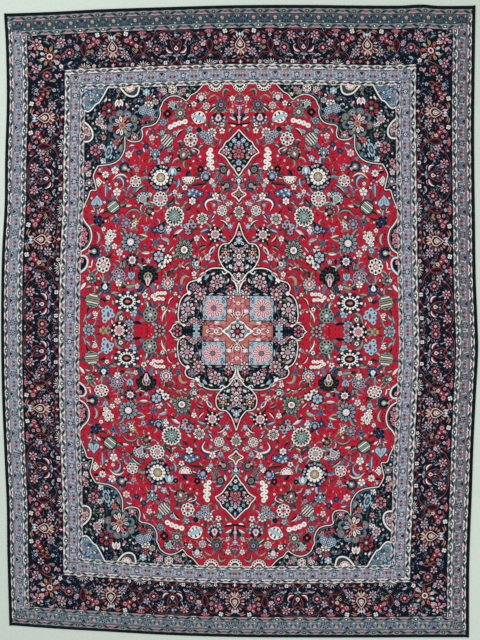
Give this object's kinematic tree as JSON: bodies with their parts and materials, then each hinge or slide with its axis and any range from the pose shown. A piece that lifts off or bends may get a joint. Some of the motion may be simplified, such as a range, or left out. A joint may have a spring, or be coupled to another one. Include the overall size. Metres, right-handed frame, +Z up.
{
  "type": "hand-knotted persian rug",
  "caption": "Large rectangular knotted wool rug with overcast selvedges and bound ends, its sides slightly bowed, lying flat to cover a floor.",
  "frame": {"origin": "on the floor, under the middle of the rug's outline", "axes": "+Y along the rug's length towards the end at the top of the picture, +X across it to the right, +Z up out of the pile"},
  "size_m": [3.0093, 3.9842, 0.01],
  "materials": {
    "pile": "clipped wool pile, matt with a soft sheen, crimson ground with a navy, ivory, blue and pink flower pattern",
    "binding": "navy wool yarn wrapped close round the edge, matt"
  },
  "bodies": {
    "root": {"rug_body": "pile", "selvedge_left": "binding", "selvedge_right": "binding", "end_binding_top": "binding", "end_binding_bottom": "binding"}
  },
  "joints": []
}
